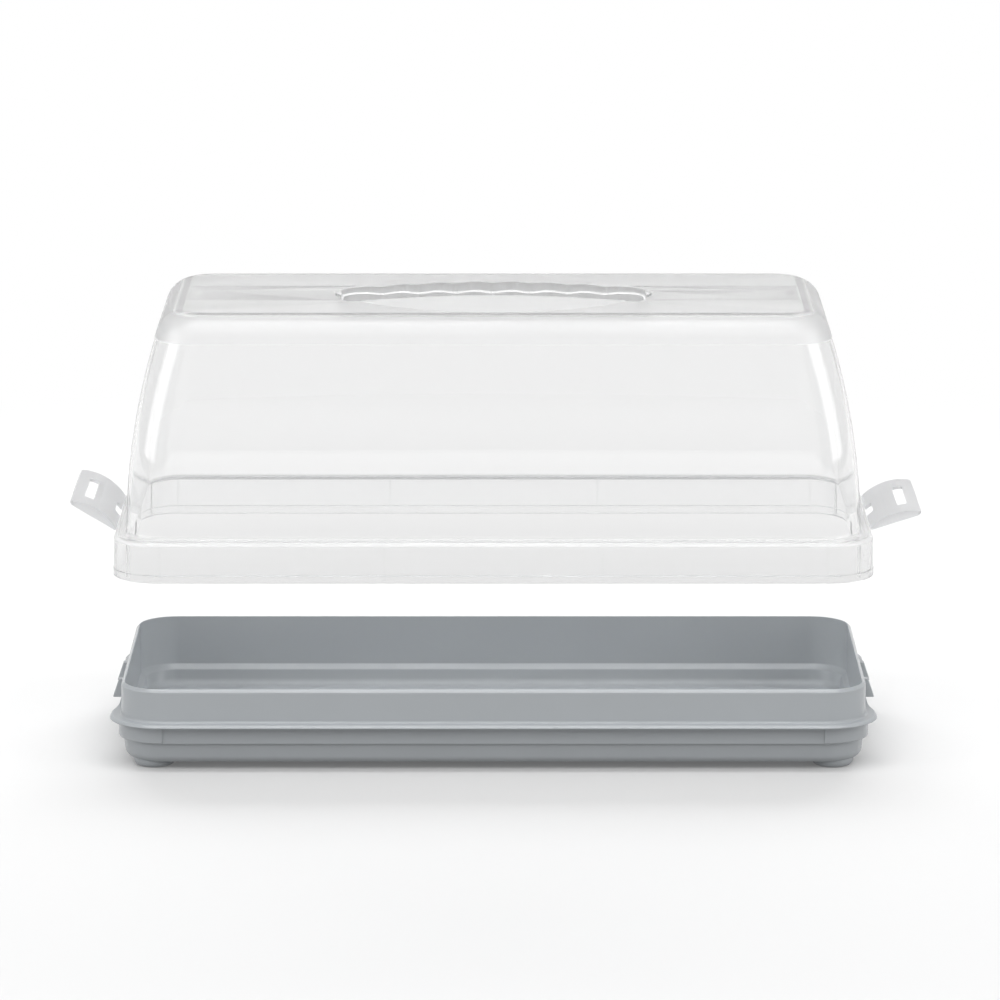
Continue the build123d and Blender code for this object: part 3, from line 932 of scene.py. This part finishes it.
def makeFloor():      # lit round the object, and plain white further out
    s = studioSettings
    bm = bmesh.new()
    bmesh.ops.create_grid(bm, x_segments=1, y_segments=1, size=s["floorSize"] / 2)
    floor = newPiece("floor", bm)
    if floor.data.polygons[0].normal.z < 0:
        floor.data.flip_normals()
    material, nodes, links = startMaterial("floorPaper")
    seen = seenRays(nodes, links, ("Is Camera Ray", "Is Transmission Ray", "Is Glossy Ray"))
    place = addNode(nodes, "ShaderNodeTexCoord", (-900, 100))
    length = addNode(nodes, "ShaderNodeVectorMath", (-700, 100), operation="LENGTH")
    fade = addNode(nodes, "ShaderNodeMapRange", (-500, 100), interpolation_type="SMOOTHSTEP")
    fade.inputs["From Min"].default_value, fade.inputs["From Max"].default_value = s["floorFade"]
    share = addNode(nodes, "ShaderNodeMath", (-300, 200), operation="MULTIPLY")
    diffuse = addNode(nodes, "ShaderNodeBsdfDiffuse", (-300, 0))
    light = addNode(nodes, "ShaderNodeLightPath", (-700, -100))
    paper = addNode(nodes, "ShaderNodeMix", (-500, -100), data_type="RGBA")
    paper.inputs["A"].default_value = s["floorColour"]
    paper.inputs["B"].default_value = s["bounceColour"]
    through = addNode(nodes, "ShaderNodeMath", (-600, -250), operation="MULTIPLY")
    through.inputs[1].default_value = s["throughShare"]
    darker = addNode(nodes, "ShaderNodeMath", (-600, -400), operation="MAXIMUM")
    links.new(light.outputs["Is Transmission Ray"], through.inputs[0])
    links.new(light.outputs["Is Diffuse Ray"], darker.inputs[0])
    links.new(through.outputs["Value"], darker.inputs[1])
    links.new(darker.outputs["Value"], paper.inputs["Factor"])
    links.new(paper.outputs["Result"], diffuse.inputs["Color"])
    glow = addNode(nodes, "ShaderNodeEmission", (-300, -150))
    glow.inputs["Strength"].default_value = s["floorGlow"]
    lit = addNode(nodes, "ShaderNodeAddShader", (-50, 0))
    white = addNode(nodes, "ShaderNodeEmission", (-50, -150))
    mix = addNode(nodes, "ShaderNodeMixShader", (200, 0))
    output = addNode(nodes, "ShaderNodeOutputMaterial", (400, 0))
    links.new(place.outputs["Object"], length.inputs[0])
    links.new(length.outputs["Value"], fade.inputs["Value"])
    links.new(seen, share.inputs[0])
    links.new(fade.outputs["Result"], share.inputs[1])
    links.new(diffuse.outputs["BSDF"], lit.inputs[0])
    links.new(glow.outputs["Emission"], lit.inputs[1])
    links.new(share.outputs["Value"], mix.inputs["Fac"])
    links.new(lit.outputs["Shader"], mix.inputs[1])
    links.new(white.outputs["Emission"], mix.inputs[2])
    links.new(mix.outputs["Shader"], output.inputs["Surface"])
    floor.data.materials.append(material)
    return floor


# a dim room with a white backdrop behind the object, and white where the camera sees it
def makeWorld():
    s = studioSettings
    world = bpy.data.worlds.new("studio")
    scene.world = world
    world.use_nodes = True
    nodes, links = world.node_tree.nodes, world.node_tree.links
    nodes.clear()
    place = addNode(nodes, "ShaderNodeTexCoord", (-1100, 0))
    split = addNode(nodes, "ShaderNodeSeparateXYZ", (-900, 0))
    behind = addNode(nodes, "ShaderNodeMapRange", (-700, 0), interpolation_type="SMOOTHSTEP")
    behind.inputs["From Min"].default_value, behind.inputs["From Max"].default_value = s["backdropFade"]
    plain = addNode(nodes, "ShaderNodeMapRange", (-700, 250), interpolation_type="SMOOTHSTEP")
    plain.inputs["From Min"].default_value, plain.inputs["From Max"].default_value = s["plainFade"]
    strength = addNode(nodes, "ShaderNodeMapRange", (-400, -150))
    strength.inputs["To Min"].default_value = s["roomLevel"]
    strength.inputs["To Max"].default_value = s["backdropLevel"]
    clear = seenRays(nodes, links, ("Is Transmission Ray", "Is Glossy Ray"))
    clearBack = addNode(nodes, "ShaderNodeMath", (-400, 200), operation="MULTIPLY")
    seen = addNode(nodes, "ShaderNodeMath", (-200, 300), operation="MAXIMUM")
    studio = addNode(nodes, "ShaderNodeBackground", (0, 0))
    white = addNode(nodes, "ShaderNodeBackground", (0, -150))
    mix = addNode(nodes, "ShaderNodeMixShader", (250, 0))
    output = addNode(nodes, "ShaderNodeOutputWorld", (450, 0))
    links.new(place.outputs["Generated"], split.inputs["Vector"])
    links.new(split.outputs["Y"], behind.inputs["Value"])
    links.new(split.outputs["Y"], plain.inputs["Value"])
    links.new(behind.outputs["Result"], strength.inputs["Value"])
    links.new(strength.outputs["Result"], studio.inputs["Strength"])
    links.new(clear, clearBack.inputs[0])
    links.new(plain.outputs["Result"], clearBack.inputs[1])
    links.new(seenRays(nodes, links, ("Is Camera Ray",)), seen.inputs[0])
    links.new(clearBack.outputs["Value"], seen.inputs[1])
    links.new(seen.outputs["Value"], mix.inputs["Fac"])
    links.new(studio.outputs["Background"], mix.inputs[1])
    links.new(white.outputs["Background"], mix.inputs[2])
    links.new(mix.outputs["Shader"], output.inputs["Surface"])


lampSettings = {
    "front": {"place": (0.0, -1.7, 1.7), "aim": (0, 0, 0.1), "size": (3.0, 1.8), "power": 26},
    "back": {"place": (0.0, 2.2, 1.0), "aim": (0, 0, 0), "size": (3.0, 1.0), "power": 90, "floorOnly": True},
    "overhead": {"place": (0.0, -0.47, 1.9), "aim": (0, 0, 0.1), "size": (2.2, 0.3), "power": 14},
    "leftBox": {"place": (-2.0, -0.8, 0.8), "aim": (0, 0, 0.12), "size": (1.3, 1.2), "power": 12},
    "rightBox": {"place": (2.0, -0.8, 0.8), "aim": (0, 0, 0.12), "size": (1.3, 1.2), "power": 12},
}


def makeLamps(floor):      # the low lamp behind lights the floor alone, for the shadow in front
    for name, s in lampSettings.items():
        lamp = bpy.data.lights.new(name, "AREA")
        lamp.shape = "RECTANGLE"
        lamp.size, lamp.size_y = s["size"]
        lamp.energy = s["power"]
        holder = bpy.data.objects.new(name, lamp)
        holder.location = s["place"]
        holder.rotation_euler = (Vector(s["aim"]) - Vector(s["place"])).to_track_quat("-Z", "Y").to_euler()
        scene.collection.objects.link(holder)
        if "floorOnly" in s:
            ground = bpy.data.collections.new("ground")
            ground.objects.link(floor)
            holder.light_linking.receiver_collection = ground


cameraSettings = {
    "place": (0.0034, -3.0567, 0.7521),
    "pitch": 11.58,
    "focalPixels": 5900,
    "picturePixels": 1000,
    "sensorWidth": 36,
}


def makeCamera():
    s = cameraSettings
    lens = bpy.data.cameras.new("camera")
    lens.sensor_width = s["sensorWidth"]
    lens.lens = s["focalPixels"] / s["picturePixels"] * lens.sensor_width
    camera = bpy.data.objects.new("camera", lens)
    camera.location = s["place"]
    camera.rotation_euler = (radians(90 - s["pitch"]), 0, 0)
    scene.collection.objects.link(camera)
    scene.camera = camera


makeTray().data.materials.append(makeTrayMaterial())
dressLid(makeLid())
flapPlastic = makeLidMaterial("flapPlastic", lidLook["flapFinish"])
for side in ("left", "right"):
    makeFlap(side).data.materials.append(flapPlastic)
print("pieces and materials ready")

makeCamera()
makeWorld()
makeLamps(makeFloor())
scene.view_settings.view_transform = "Standard"
print("studio ready")
